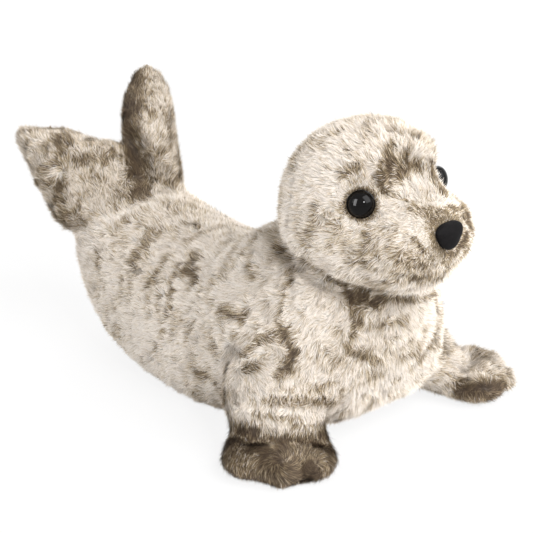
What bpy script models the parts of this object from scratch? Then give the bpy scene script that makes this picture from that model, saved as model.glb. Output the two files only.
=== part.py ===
"""Plush harbour seal pup, lying on its belly with its head raised and its tail curved up.

The toy faces +X and its left side is +Y. It rests on the XY plane, with the origin under the
middle of its belly. It is six sewn and stuffed bags (torso, head, two fore flippers and two hind
flippers), two domed plastic eyes and a flocked nose. Each eye and the nose have a shank that goes
through the skin and is held inside the head by a washer.
"""
import math

import bmesh
import bpy
import numpy as np
from mathutils import Matrix, Vector, noise
from mathutils.bvhtree import BVHTree

# Clearances, in metres
SEAM_GAP = 0.0003
FIT_GAP = 0.0003

# Torso, from the chest back along the floor to the tail seam
CHEST_X = 0.124
TORSO_LENGTH = 0.232
TORSO_WIDTH = 0.133
TORSO_HEIGHT = 0.112
TAIL_LIFT = 0.070
BELLY_TRIM = 0.006
CHEST_ROUNDING = 0.030
TAIL_ROUNDING = 0.016

# Head
HEAD_FRONT_X = 0.151
HEAD_LENGTH = 0.108
HEAD_WIDTH = 0.0925
HEAD_HEIGHT = 0.097
HEAD_CENTRE_HEIGHT = 0.127
NAPE_ROUNDING = 0.042
MUZZLE_ROUNDING = 0.014

# Soft forms that the stuffing raises or the thread pulls in
SHOULDER_SWELL = 0.008
SHOULDER_RADIUS = 0.045
EYE_HOLLOW_DEPTH = 0.008
EYE_HOLLOW_RADIUS = 0.022
EYE_HOLLOW_YAW = math.radians(34.0)
EYE_HOLLOW_PITCH = math.radians(16.0)
BROW_SWELL = 0.0045
BROW_RADIUS = 0.018
BROW_X = 0.118
BROW_SPACING = 0.056
BROW_HEIGHT = 0.154
WHISKER_PAD_SWELL = 0.003
WHISKER_PAD_RADIUS = 0.022
WHISKER_PAD_SPACING = 0.034
WHISKER_PAD_HEIGHT = 0.114

# Fore flippers: an arm down from the shoulder and a pad on the floor, in one upright plane
FORE_ROOT_X = 0.0645
FORE_ROOT_Y = 0.041
FORE_YAW_RIGHT = math.radians(43.5)
FORE_YAW_LEFT = math.radians(35.0)
FORE_REACH_RIGHT = 0.078
FORE_REACH_LEFT = 0.082
FORE_SHOULDER_HEIGHT_RIGHT = 0.048
FORE_SHOULDER_HEIGHT_LEFT = 0.026
FORE_PAD_WIDTH = 0.064
FORE_ARM_THICKNESS = 0.036
FORE_PAD_THICKNESS = 0.020
FORE_PAD_TRIM = 0.003
FORE_ROOT_ROUNDING = 0.020
FORE_TIP_ROUNDING = 0.022
FORE_TOE_DEPTH = 0.003

# Hind flippers: broad paddles that lean back and out from the tail
HIND_ROOT_SHARE_RIGHT = 0.93
HIND_ROOT_SHARE_LEFT = 0.955
HIND_ROOT_OFFSET_RIGHT = 0.022
HIND_ROOT_OFFSET_LEFT = 0.0185
HIND_LENGTH_RIGHT = 0.064
HIND_LENGTH_LEFT = 0.070
HIND_WIDTH = 0.064
HIND_SWEEP = 0.023
HIND_ROOT_THICKNESS = 0.040
HIND_TIP_THICKNESS = 0.031
HIND_LEAN_RIGHT = math.radians(30.0)
HIND_LEAN_LEFT = math.radians(6.0)
HIND_SPLAY = math.radians(10.0)
HIND_TWIST_RIGHT = math.radians(49.0)
HIND_TWIST_LEFT = math.radians(57.0)
HIND_ROOT_ROUNDING = 0.010
HIND_TIP_ROUNDING = 0.011
HIND_TOE_DEPTH = 0.002

# Eyes and their washers; both eyes look out from one core point on the head's middle plane
EYE_CORE_X = 0.088
EYE_CORE_HEIGHT = 0.131
EYE_YAW = math.radians(48.0)
EYE_PITCH = math.radians(12.0)
EYE_DIAMETER = 0.015
EYE_DOME_HEIGHT = 0.0060
EYE_RIM_HEIGHT = 0.0014
EYE_SINK = 0.0014
EYE_SHANK_DIAMETER = 0.005
EYE_SHANK_LENGTH = 0.011
EYE_WASHER_DIAMETER = 0.013
EYE_WASHER_THICKNESS = 0.0016
EYE_WASHER_DEPTH = 0.0045

# Nose and its washer
NOSE_CORE_HEIGHT = 0.1205
NOSE_PITCH = math.radians(4.0)
NOSE_WIDTH = 0.0185
NOSE_HEIGHT_SHARE = 0.80
NOSE_CORNER_SHARE = 0.10
NOSE_DOME_HEIGHT = 0.0058
NOSE_RIM_HEIGHT = 0.0016
NOSE_SINK = 0.0022
NOSE_SHANK_DIAMETER = 0.005
NOSE_SHANK_LENGTH = 0.012
NOSE_WASHER_DIAMETER = 0.013
NOSE_WASHER_THICKNESS = 0.0016
NOSE_WASHER_DEPTH = 0.0045

# Looks: colours, roughness and sheen of each material
TORSO_CREAM = (0.64, 0.58, 0.51)
HEAD_CREAM = (0.58, 0.52, 0.45)
FORE_CREAM = (0.55, 0.49, 0.42)
HIND_TAN = (0.48, 0.42, 0.34)
COAT_BROWN = (0.17, 0.12, 0.07)
EYE_BLACK = (0.010, 0.008, 0.007)
NOSE_BLACK = (0.020, 0.018, 0.018)
WASHER_WHITE = (0.75, 0.75, 0.72)
PLUSH_ROUGHNESS = 0.95
PLUSH_SHEEN = 0.3
EYE_ROUGHNESS = 0.08
NOSE_ROUGHNESS = 0.8
WASHER_ROUGHNESS = 0.4

# Coat: olive-brown patches where a smooth noise passes a level that falls towards the toes
PATCH_SIZE = 0.026
PATCH_THRESHOLD_SHARE = 0.16
PAD_DARKENING_SHARE = 0.6

# Profiles as (share of the way along, share of the size), with the points that each shape needs
TORSO_RUNS = ((0.0, 0.0), (0.21, 0.234), (0.435, 0.476), (0.585, 0.641), (0.71, 0.778), (0.84, 0.899),
              (0.94, 0.968), (1.0, 1.0))
TORSO_LIFTS = ((0.0, 0.32), (0.12, 0.18), (0.25, 0.06), (0.4, 0.0), (0.585, 0.01), (0.71, 0.10),
               (0.84, 0.36), (0.94, 0.72), (1.0, 1.0))
TORSO_HEIGHTS = ((0.0, 0.84), (0.07, 0.93), (0.21, 1.0), (0.33, 0.95), (0.435, 0.81), (0.585, 0.77),
                 (0.71, 0.76), (0.84, 0.70), (0.94, 0.54), (1.0, 0.42))
TORSO_WIDTHS = ((0.0, 0.70), (0.07, 0.85), (0.21, 0.96), (0.435, 1.0), (0.585, 0.93), (0.71, 0.81),
                (0.84, 0.68), (0.94, 0.58), (1.0, 0.52))
HEAD_WIDTHS = ((0.0, 0.80), (0.2, 0.95), (0.4, 1.0), (0.57, 0.95), (0.7, 0.80), (0.82, 0.73), (1.0, 0.56))
HEAD_TOPS = ((0.0, 0.76), (0.25, 0.91), (0.48, 1.0), (0.62, 0.98), (0.74, 0.80), (0.85, 0.44), (1.0, 0.10))
HEAD_BOTTOMS = ((0.0, 0.86), (0.3, 1.0), (0.6, 0.97), (0.8, 0.90), (0.9, 0.86), (1.0, 0.76))
HEAD_CHEEKS = ((0.0, 0.0), (0.5, 0.05), (0.75, 0.18), (1.0, 0.22))
FORE_RUNS = ((0.0, 0.02), (0.2, 0.22), (0.4, 0.38), (0.58, 0.50), (0.76, 0.70), (1.0, 1.0))
FORE_DROPS = ((0.0, 1.06), (0.2, 0.93), (0.4, 0.58), (0.58, 0.27), (0.76, 0.05), (1.0, 0.0))
FORE_WIDTHS = ((0.0, 0.82), (0.2, 0.92), (0.4, 0.92), (0.58, 0.82), (0.8, 0.99), (1.0, 0.9))
FORE_FULLNESS = ((0.0, 1.0), (0.2, 1.0), (0.4, 0.82), (0.6, 0.42), (0.8, 0.0), (1.0, -0.1))
HIND_WIDTHS = ((0.0, 0.84), (0.3, 0.95), (0.6, 1.0), (0.85, 0.98), (1.0, 0.9))
HIND_FULLNESS = ((0.0, 1.0), (0.4, 0.5), (0.8, 0.1), (1.0, 0.0))

# Cross-sections: 2 is an ellipse, more is squarer and less is keener at the side seams
ROUND_EXPONENT = 2.1
BELLY_EXPONENT = 3.2
PADDLE_EXPONENT = 2.3
SEAMED_EXPONENT = 1.9
BELLY_SAG_SHARE = 0.07
BALL_RADIUS = 0.05
MERGE_DISTANCE = 0.000001
SLOPE_STEP = 0.001
TOE_COUNT = 5
TOE_FADE_EXPONENT = 6
RING_CROWDING_SHARE = 0.4
TURNED_STEPS = 20
DOME_STEPS = 6
TORSO_FACETS = (32, 28)
HEAD_FACETS = (34, 28)
FORE_FACETS = (24, 20)
HIND_FACETS = (24, 18)
SHARP_ANGLE = math.radians(50.0)


def share_curve(points, where):
    """Smooth curve through hand-placed points, which never swings past them, read at given places."""
    places = np.array([point[0] for point in points])
    values = np.array([point[1] for point in points])
    steps = np.diff(places)
    slopes = np.diff(values) / steps
    tangents = np.zeros(len(points))
    tangents[0] = slopes[0]
    tangents[-1] = slopes[-1]
    for index in range(1, len(points) - 1):
        before = slopes[index - 1]
        after = slopes[index]
        if before * after > 0:
            tangents[index] = 2 * before * after / (before + after)
    where = np.clip(where, places[0], places[-1])
    span = np.clip(np.searchsorted(places, where, side="right") - 1, 0, len(steps) - 1)
    step = steps[span]
    t = (where - places[span]) / step
    return ((2 * t**3 - 3 * t**2 + 1) * values[span]
            + (t**3 - 2 * t**2 + t) * step * tangents[span]
            + (3 * t**2 - 2 * t**3) * values[span + 1]
            + (t**3 - t**2) * step * tangents[span + 1])


def round_ends(along, length, start_rounding, end_rounding):
    """Share that closes a bag at both ends with a quarter ellipse of the given lengths."""
    start = np.clip(along * length / start_rounding, 0.0, 1.0)
    end = np.clip((1.0 - along) * length / end_rounding, 0.0, 1.0)
    return np.sqrt(1 - (1 - start) ** 2) * np.sqrt(1 - (1 - end) ** 2)


def section(value, squareness):
    """Coordinate on a super-ellipse from the matching coordinate on a circle."""
    return np.sign(value) * np.abs(value) ** (2.0 / squareness)


def toes(across, half_width, along, depth):
    """Shallow scallops, one for each toe, that grow towards the tip of a flipper."""
    return depth * np.cos(TOE_COUNT * math.pi / 2 * across / half_width) * along**TOE_FADE_EXPONENT


def swell(points, centre, radius, offset):
    """Push the points near a centre by an offset that fades out smoothly at the radius."""
    share = np.clip(1.0 - np.linalg.norm(points - np.array(centre), axis=1) / radius, 0.0, 1.0)
    fade = share * share * (3 - 2 * share)
    return points + fade[:, None] * np.array(offset)


def sweep(along, line, above):
    """Run and rise of points set off square to a line in an upright plane by the given heights."""
    run, rise = line(along)
    run_ahead, rise_ahead = line(np.minimum(along + SLOPE_STEP, 1.0))
    run_behind, rise_behind = line(np.maximum(along - SLOPE_STEP, 0.0))
    run_slope = run_ahead - run_behind
    rise_slope = rise_ahead - rise_behind
    slope = np.hypot(run_slope, rise_slope)
    return run - above * rise_slope / slope, rise + above * run_slope / slope


def face_outward(mesh):
    """Turn every face of a closed mesh to the outside."""
    bmesh.ops.recalc_face_normals(mesh, faces=mesh.faces)
    if mesh.calc_volume(signed=True) < 0:
        bmesh.ops.reverse_faces(mesh, faces=mesh.faces)


class Bag:
    """A UV ball whose rings become the rings of a sewn bag, from pole to pole along it."""

    def __init__(self, around, rings):
        self.mesh = bmesh.new()
        bmesh.ops.create_uvsphere(self.mesh, u_segments=around, v_segments=rings, radius=BALL_RADIUS)
        ball = np.array([vertex.co[:] for vertex in self.mesh.verts])
        even = 1.0 - np.arccos(np.clip(ball[:, 2] / BALL_RADIUS, -1.0, 1.0)) / math.pi
        self.along = even - RING_CROWDING_SHARE * np.sin(2 * math.pi * even) / (2 * math.pi)
        radius = np.maximum(np.hypot(ball[:, 0], ball[:, 1]), MERGE_DISTANCE)
        self.across = ball[:, 0] / radius
        self.up = ball[:, 1] / radius

    def place(self, points):
        """Move the ball's points to their places on the bag."""
        for vertex, point in zip(self.mesh.verts, points):
            vertex.co = point
        face_outward(self.mesh)
        return self.mesh


def trim(mesh, place, outward):
    """Cut off what lies beyond a plane and close the bag there with one flat face."""
    everything = mesh.verts[:] + mesh.edges[:] + mesh.faces[:]
    bmesh.ops.bisect_plane(mesh, geom=everything, plane_co=place, plane_no=outward, clear_outer=True)
    rim = [edge for edge in mesh.edges if edge.is_boundary]
    bmesh.ops.holes_fill(mesh, edges=rim, sides=0)
    face_outward(mesh)


def trim_floor(mesh):
    """Flatten a bag where it rests on the floor."""
    trim(mesh, (0, 0, 0), (0, 0, -1))


def mesh_data(name, mesh, *materials):
    """Finish a bmesh as mesh data, shaded smooth."""
    data = bpy.data.meshes.new(name)
    mesh.to_mesh(data)
    mesh.free()
    data.shade_smooth()
    data.set_sharp_from_angle(angle=SHARP_ANGLE)
    for material in materials:
        data.materials.append(material)
    return data


def add_piece(name, data, frame=Matrix()):
    """Place mesh data as one named piece of the toy."""
    piece = bpy.data.objects.new(name, data)
    bpy.context.scene.collection.objects.link(piece)
    piece.parent = bpy.data.objects["seal"]
    piece.matrix_world = frame
    return piece


def add_cutter(name, data, frame=Matrix()):
    """Place mesh data as a hidden body that only cuts others."""
    cutter = add_piece(name, data, frame)
    cutter.hide_render = True
    cutter.display_type = "WIRE"
    return cutter


def cut_by(piece, cutter):
    """Cut a body out of a piece."""
    cut = piece.modifiers.new("Cut by " + cutter.name, "BOOLEAN")
    cut.operation = "DIFFERENCE"
    cut.solver = "EXACT"
    cut.object = cutter


def surface(name, colour, roughness, sheen=0.0):
    """Principled material of one colour."""
    material = bpy.data.materials.new(name)
    material.use_nodes = True
    shader = material.node_tree.nodes["Principled BSDF"]
    shader.inputs["Base Color"].default_value = (*colour, 1.0)
    shader.inputs["Roughness"].default_value = roughness
    shader.inputs["Metallic"].default_value = 0.0
    shader.inputs["Sheen Weight"].default_value = sheen
    return material


def plush_data(name, mesh, colour, frame=Matrix(), pad_reach=None):
    """Finish a bag as mesh data in two plushes: its own pale one, and brown for the coat's patches."""
    for face in mesh.faces:
        centre = face.calc_center_median()
        level = PATCH_THRESHOLD_SHARE
        if pad_reach:
            level -= PAD_DARKENING_SHARE * max(0.0, centre.x / pad_reach) ** 2
        if noise.noise((frame @ centre) / PATCH_SIZE) > level:
            face.material_index = 1
    pale = surface(name + "_plush", colour, PLUSH_ROUGHNESS, PLUSH_SHEEN)
    brown = surface(name + "_brown_plush", COAT_BROWN, PLUSH_ROUGHNESS, PLUSH_SHEEN)
    return mesh_data(name, mesh, pale, brown)


def backbone(along):
    """Distance back from the chest, and height, of the torso's middle."""
    thickness = TORSO_HEIGHT * share_curve(TORSO_HEIGHTS, along)
    run = TORSO_LENGTH * share_curve(TORSO_RUNS, along)
    return run, thickness / 2 - BELLY_TRIM + TAIL_LIFT * share_curve(TORSO_LIFTS, along)


def torso_mesh():
    """Sausage with a flat belly and a full chest, whose tail tapers and curves up."""
    bag = Bag(*TORSO_FACETS)
    along = bag.along
    half_width = TORSO_WIDTH / 2 * share_curve(TORSO_WIDTHS, along)
    half_height = TORSO_HEIGHT / 2 * share_curve(TORSO_HEIGHTS, along)
    closing = round_ends(along, TORSO_LENGTH, CHEST_ROUNDING, TAIL_ROUNDING)
    squareness = np.where(bag.up > 0, ROUND_EXPONENT, BELLY_EXPONENT)
    across = half_width * closing * section(bag.across, squareness) * (1 - BELLY_SAG_SHARE * bag.up)
    run, height = sweep(along, backbone, half_height * closing * section(bag.up, squareness))
    points = np.column_stack((CHEST_X - run, across, height))
    for side, shoulder_height in ((-1, FORE_SHOULDER_HEIGHT_RIGHT), (1, FORE_SHOULDER_HEIGHT_LEFT)):
        shoulder = (FORE_ROOT_X, side * TORSO_WIDTH / 2, shoulder_height)
        points = swell(points, shoulder, SHOULDER_RADIUS, (0.0, side * SHOULDER_SWELL, 0.0))
    return bag.place(points)


def direction(side, yaw, pitch):
    """Direction turned out from +X to the right (-1) or left (1) by a yaw, and raised by a pitch."""
    return Vector((math.cos(pitch) * math.cos(yaw), side * math.cos(pitch) * math.sin(yaw), math.sin(pitch)))


def head_mesh():
    """Round skull that narrows through the cheeks into a short, blunt muzzle."""
    bag = Bag(*HEAD_FACETS)
    along = bag.along
    half_width = HEAD_WIDTH / 2 * share_curve(HEAD_WIDTHS, along)
    half_height = HEAD_HEIGHT / 2 * np.where(
        bag.up > 0, share_curve(HEAD_TOPS, along), share_curve(HEAD_BOTTOMS, along))
    closing = round_ends(along, HEAD_LENGTH, NAPE_ROUNDING, MUZZLE_ROUNDING)
    cheeks = 1 - share_curve(HEAD_CHEEKS, along) * bag.up
    points = np.column_stack((
        HEAD_FRONT_X - (1 - along) * HEAD_LENGTH,
        half_width * closing * section(bag.across, ROUND_EXPONENT) * cheeks,
        HEAD_CENTRE_HEIGHT + half_height * closing * section(bag.up, ROUND_EXPONENT)))
    for side in (-1, 1):
        outward = direction(side, EYE_HOLLOW_YAW, EYE_HOLLOW_PITCH)
        hollow = Vector((EYE_CORE_X, 0, EYE_CORE_HEIGHT)) + outward * HEAD_WIDTH / 2
        points = swell(points, hollow, EYE_HOLLOW_RADIUS, -outward * EYE_HOLLOW_DEPTH)
        brow = Vector((BROW_X, side * BROW_SPACING / 2, BROW_HEIGHT))
        outward = (brow - Vector((EYE_CORE_X, 0, HEAD_CENTRE_HEIGHT))).normalized()
        points = swell(points, brow, BROW_RADIUS, outward * BROW_SWELL)
        pad_x = HEAD_FRONT_X - WHISKER_PAD_RADIUS / 2
        whisker_pad = (pad_x, side * WHISKER_PAD_SPACING / 2, WHISKER_PAD_HEIGHT)
        points = swell(points, whisker_pad, WHISKER_PAD_RADIUS,
                       (WHISKER_PAD_SWELL / 2, side * WHISKER_PAD_SWELL, -WHISKER_PAD_SWELL / 2))
    return bag.place(points)


def fore_flipper_mesh(full_reach, shoulder_height):
    """Arm that drops from the shoulder and spreads into a flat pad with shallow toes, towards +X."""
    bag = Bag(*FORE_FACETS)
    along = bag.along
    pad_height = FORE_PAD_THICKNESS / 2 - FORE_PAD_TRIM
    drop = shoulder_height - pad_height

    def arm_line(share):
        return full_reach * share_curve(FORE_RUNS, share), pad_height + drop * share_curve(FORE_DROPS, share)

    pad_half = FORE_PAD_WIDTH / 2
    fullness = share_curve(FORE_FULLNESS, along)
    thickness = FORE_PAD_THICKNESS + (FORE_ARM_THICKNESS - FORE_PAD_THICKNESS) * fullness
    closing = round_ends(along, full_reach + drop, FORE_ROOT_ROUNDING, FORE_TIP_ROUNDING)
    across = pad_half * share_curve(FORE_WIDTHS, along) * closing * section(bag.across, PADDLE_EXPONENT)
    out, height = sweep(along, arm_line, thickness / 2 * closing * section(bag.up, ROUND_EXPONENT))
    out += toes(across, pad_half, along, FORE_TOE_DEPTH)
    mesh = bag.place(np.column_stack((out, across, height)))
    trim_floor(mesh)
    return mesh


def fore_flipper_frame(side, yaw):
    """Place of a fore flipper: its root by the torso's side, its reach turned out from +X."""
    return Matrix.Translation((FORE_ROOT_X, side * FORE_ROOT_Y, 0)) @ Matrix.Rotation(side * yaw, 4, "Z")


def hind_flipper_mesh(side, full_length):
    """Broad paddle up +Z, swept so that its outer edge is the longer one."""
    bag = Bag(*HIND_FACETS)
    along = bag.along
    half_width = HIND_WIDTH / 2
    fullness = share_curve(HIND_FULLNESS, along)
    thickness = HIND_TIP_THICKNESS + (HIND_ROOT_THICKNESS - HIND_TIP_THICKNESS) * fullness
    closing = round_ends(along, full_length, HIND_ROOT_ROUNDING, HIND_TIP_ROUNDING)
    across = half_width * share_curve(HIND_WIDTHS, along) * closing * section(bag.across, PADDLE_EXPONENT)
    through = thickness / 2 * closing * section(bag.up, SEAMED_EXPONENT)
    length = along * (full_length + side * HIND_SWEEP * across / half_width)
    length += toes(across, half_width, along, HIND_TOE_DEPTH)
    return bag.place(np.column_stack((through, across, length)))


def hind_flipper_frame(side, root_share, root_offset, lean, twist):
    """Place of a hind flipper: its root in the tail's end, leaning back, splayed and twisted outward."""
    root_run, root_height = backbone(np.array([root_share]))
    return (Matrix.Translation((CHEST_X - root_run[0], side * root_offset, root_height[0]))
            @ Matrix.Rotation(-side * HIND_SPLAY, 4, "Z")
            @ Matrix.Rotation(-lean, 4, "Y")
            @ Matrix.Rotation(side * twist, 4, "Z"))


def trim_middle(mesh, frame, side):
    """Keep a hind flipper to its own side of the tail, clear of its twin."""
    back = frame.inverted()
    trim(mesh, back @ Vector((0, side * SEAM_GAP / 2, 0)), back.to_3x3() @ Vector((0, -side, 0)))


def turned(profile):
    """Closed solid turned about its own Z axis from (radius, height) points, top to bottom."""
    mesh = bmesh.new()
    corners = [mesh.verts.new((radius, 0, height)) for radius, height in profile]
    edges = [mesh.edges.new(pair) for pair in zip(corners, corners[1:])]
    bmesh.ops.spin(mesh, geom=corners + edges, cent=(0, 0, 0), axis=(0, 0, 1), angle=2 * math.pi,
                   steps=TURNED_STEPS, use_merge=True)
    bmesh.ops.remove_doubles(mesh, verts=mesh.verts, dist=MERGE_DISTANCE)
    face_outward(mesh)
    return mesh


def button_mesh(radius, dome_height, rim_height, shank_radius, shank_length):
    """Domed button with an upright rim, a flat back and a plain shank."""
    arc = [math.pi / 2 * step / DOME_STEPS for step in range(DOME_STEPS + 1)]
    rise = dome_height - rim_height
    dome = [(radius * math.sin(angle), rim_height + rise * math.cos(angle)) for angle in arc]
    return turned(dome + [(radius, 0), (shank_radius, 0), (shank_radius, -shank_length), (0, -shank_length)])


def washer_mesh(shank_radius, washer_radius, washer_depth, washer_thickness):
    """Flat ring round a shank, at its depth behind the button."""
    hole = shank_radius + FIT_GAP
    bottom = -washer_depth - washer_thickness
    return turned([(hole, -washer_depth), (washer_radius, -washer_depth), (washer_radius, bottom),
                   (hole, bottom), (hole, -washer_depth)])


def pocket_mesh(radius, shank_radius, shank_length, washer_radius, washer_depth, washer_thickness):
    """Room in the head for a button, its shank and its washer, with the fitting gap all round."""
    button_wall = radius + FIT_GAP
    shank_wall = shank_radius + FIT_GAP
    washer_wall = washer_radius + FIT_GAP
    washer_top = FIT_GAP - washer_depth
    washer_bottom = -washer_depth - washer_thickness - FIT_GAP
    shank_end = -shank_length - FIT_GAP
    return turned([(0, radius), (button_wall, radius), (button_wall, -FIT_GAP), (shank_wall, -FIT_GAP),
                   (shank_wall, washer_top), (washer_wall, washer_top), (washer_wall, washer_bottom),
                   (shank_wall, washer_bottom), (shank_wall, shank_end), (0, shank_end)])


def three_cornered(mesh):
    """Draw the front of a round nose out to two upper corners and a lower one."""
    shank_reach = NOSE_SHANK_DIAMETER / 2 + 2 * FIT_GAP
    for vertex in mesh.verts:
        if vertex.co.z > -2 * FIT_GAP and math.hypot(vertex.co.x, vertex.co.y) > shank_reach:
            corner = math.cos(3 * (math.atan2(vertex.co.y, vertex.co.x) - math.pi / 6))
            vertex.co.x *= 1 + NOSE_CORNER_SHARE * corner
            vertex.co.y *= (1 + NOSE_CORNER_SHARE * corner) * NOSE_HEIGHT_SHARE
    return mesh


def seat_frame(head_skin, core, outward, sink):
    """Frame a little below the head's skin, with Z outward and Y upward."""
    place = head_skin.ray_cast(core, outward)[0] - outward * sink
    sideways = Vector((0, 0, 1)).cross(outward).normalized()
    upward = outward.cross(sideways)
    return Matrix.Translation(place) @ Matrix((sideways, upward, outward)).transposed().to_4x4()


def build():
    """Make every piece of the toy."""
    for old in list(bpy.data.objects):
        bpy.data.objects.remove(old, do_unlink=True)
    seal = bpy.data.objects.new("seal", None)
    bpy.context.scene.collection.objects.link(seal)
    sides = {"right": -1, "left": 1}

    # Torso, and the room that it takes out of every bag sewn to it
    torso = torso_mesh()
    torso_room = add_cutter("torso_room", mesh_data("torso_room", torso.copy()))
    grown = torso_room.modifiers.new("Seam gap", "DISPLACE")
    grown.mid_level = 0.0
    grown.strength = SEAM_GAP
    trim_floor(torso)
    add_piece("torso", plush_data("torso", torso, TORSO_CREAM))

    # Head
    head_form = head_mesh()
    head_skin = BVHTree.FromBMesh(head_form)
    head = add_piece("head", plush_data("head", head_form, HEAD_CREAM))
    cut_by(head, torso_room)

    # Fore flippers
    fore_poses = {"right": (FORE_YAW_RIGHT, FORE_REACH_RIGHT, FORE_SHOULDER_HEIGHT_RIGHT),
                  "left": (FORE_YAW_LEFT, FORE_REACH_LEFT, FORE_SHOULDER_HEIGHT_LEFT)}
    for side_name, (yaw, reach, shoulder_height) in fore_poses.items():
        name = "fore_flipper_" + side_name
        frame = fore_flipper_frame(sides[side_name], yaw)
        mesh = fore_flipper_mesh(reach, shoulder_height)
        cut_by(add_piece(name, plush_data(name, mesh, FORE_CREAM, frame, reach), frame), torso_room)

    # Hind flippers
    hind_lengths = {"right": HIND_LENGTH_RIGHT, "left": HIND_LENGTH_LEFT}
    hind_roots = {"right": (HIND_ROOT_SHARE_RIGHT, HIND_ROOT_OFFSET_RIGHT),
                  "left": (HIND_ROOT_SHARE_LEFT, HIND_ROOT_OFFSET_LEFT)}
    hind_turns = {"right": (HIND_LEAN_RIGHT, HIND_TWIST_RIGHT), "left": (HIND_LEAN_LEFT, HIND_TWIST_LEFT)}
    for side_name, side in sides.items():
        name = "hind_flipper_" + side_name
        frame = hind_flipper_frame(side, *hind_roots[side_name], *hind_turns[side_name])
        mesh = hind_flipper_mesh(side, hind_lengths[side_name])
        trim_middle(mesh, frame, side)
        cut_by(add_piece(name, plush_data(name, mesh, HIND_TAN, frame), frame), torso_room)

    # Eyes
    shank = (EYE_SHANK_DIAMETER / 2, EYE_SHANK_LENGTH)
    washer = (EYE_WASHER_DIAMETER / 2, EYE_WASHER_DEPTH, EYE_WASHER_THICKNESS)
    eye_plastic = surface("black_eye_plastic", EYE_BLACK, EYE_ROUGHNESS)
    eye_button = button_mesh(EYE_DIAMETER / 2, EYE_DOME_HEIGHT, EYE_RIM_HEIGHT, *shank)
    eye_washer_plastic = surface("milky_eye_washer_plastic", WASHER_WHITE, WASHER_ROUGHNESS)
    eye = mesh_data("eye", eye_button, eye_plastic)
    eye_washer = mesh_data("eye_washer", washer_mesh(shank[0], *washer), eye_washer_plastic)
    eye_pocket = mesh_data("eye_pocket", pocket_mesh(EYE_DIAMETER / 2, *shank, *washer))
    for side_name, side in sides.items():
        core = Vector((EYE_CORE_X, 0, EYE_CORE_HEIGHT))
        seat = seat_frame(head_skin, core, direction(side, EYE_YAW, EYE_PITCH), EYE_SINK)
        add_piece("eye_" + side_name, eye, seat)
        add_piece("eye_washer_" + side_name, eye_washer, seat)
        cut_by(head, add_cutter("eye_pocket_" + side_name, eye_pocket, seat))

    # Nose
    shank = (NOSE_SHANK_DIAMETER / 2, NOSE_SHANK_LENGTH)
    washer = (NOSE_WASHER_DIAMETER / 2, NOSE_WASHER_DEPTH, NOSE_WASHER_THICKNESS)
    nose_flock = surface("black_nose_flock", NOSE_BLACK, NOSE_ROUGHNESS)
    nose_washer_plastic = surface("milky_nose_washer_plastic", WASHER_WHITE, WASHER_ROUGHNESS)
    core = Vector((HEAD_FRONT_X - HEAD_LENGTH / 2, 0, NOSE_CORE_HEIGHT))
    outward = Vector((math.cos(NOSE_PITCH), 0, math.sin(NOSE_PITCH)))
    seat = seat_frame(head_skin, core, outward, NOSE_SINK)
    nose = three_cornered(button_mesh(NOSE_WIDTH / 2, NOSE_DOME_HEIGHT, NOSE_RIM_HEIGHT, *shank))
    nose_pocket = three_cornered(pocket_mesh(NOSE_WIDTH / 2, *shank, *washer))
    add_piece("nose", mesh_data("nose", nose, nose_flock), seat)
    nose_washer = mesh_data("nose_washer", washer_mesh(shank[0], *washer), nose_washer_plastic)
    add_piece("nose_washer", nose_washer, seat)
    cut_by(head, add_cutter("nose_pocket", mesh_data("nose_pocket", nose_pocket), seat))


build()
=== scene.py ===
"""Looks of the plush harbour seal pup: its cloth skins, its combed pile, its eyes and its nose."""
import math

import bmesh
import bpy
import numpy as np
from mathutils import Matrix, Vector
from mathutils.bvhtree import BVHTree


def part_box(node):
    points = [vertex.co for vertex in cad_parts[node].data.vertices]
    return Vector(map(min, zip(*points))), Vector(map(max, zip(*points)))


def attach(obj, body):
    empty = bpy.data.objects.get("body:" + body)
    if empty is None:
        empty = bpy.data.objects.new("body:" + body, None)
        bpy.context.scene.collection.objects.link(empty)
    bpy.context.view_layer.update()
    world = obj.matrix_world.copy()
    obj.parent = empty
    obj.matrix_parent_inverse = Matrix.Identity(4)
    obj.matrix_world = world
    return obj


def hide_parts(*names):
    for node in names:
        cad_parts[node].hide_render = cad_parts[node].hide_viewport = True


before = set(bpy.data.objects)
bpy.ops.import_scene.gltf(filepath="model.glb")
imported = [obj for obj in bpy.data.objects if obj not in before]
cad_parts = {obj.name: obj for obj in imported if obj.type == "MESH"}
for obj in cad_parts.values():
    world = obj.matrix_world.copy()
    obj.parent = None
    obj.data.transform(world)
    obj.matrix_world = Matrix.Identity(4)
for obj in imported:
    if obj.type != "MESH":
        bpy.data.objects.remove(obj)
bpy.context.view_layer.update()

# Camera, which looks at the seal as the photograph does; places in pixels are in its 533 by 533 frame
CAMERA_PLACE = Vector((0.6325, -0.6162, 0.4047))
CAMERA_AZIMUTH = math.radians(45)
CAMERA_ELEVATION = math.radians(21)
CAMERA_FOCUS = 1600
FRAME_SIDE = 533
SENSOR_WIDTH = 36

# The six sewn bags and the three buttons, by CAD node
BAGS = ("torso", "head", "fore_flipper_right", "fore_flipper_left", "hind_flipper_right", "hind_flipper_left")
EYES = ("eye_right", "eye_left")
WASHERS = ("eye_washer_right", "eye_washer_left", "nose_washer")
TORSO = BAGS.index("torso")
HEAD = BAGS.index("head")
FIRST_HIND = BAGS.index("hind_flipper_right")

# Cloth skins
MERGE = 1e-6
BAG_OVERLAP = 0.0004
CLOTH_GRID = 0.0021
PLUG_DEPTH = 0.014
PLUG_MARGIN = BAG_OVERLAP * 3
PLUG_SIDES = 32
SEAM_REACH = 0.007
SEAM_ROUNDS = {"flipper": 16, "neck": 3}
CLOTH_ROUNDS = 3
SMOOTHING = 0.5
PILE_SINK = 0.0015

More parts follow.
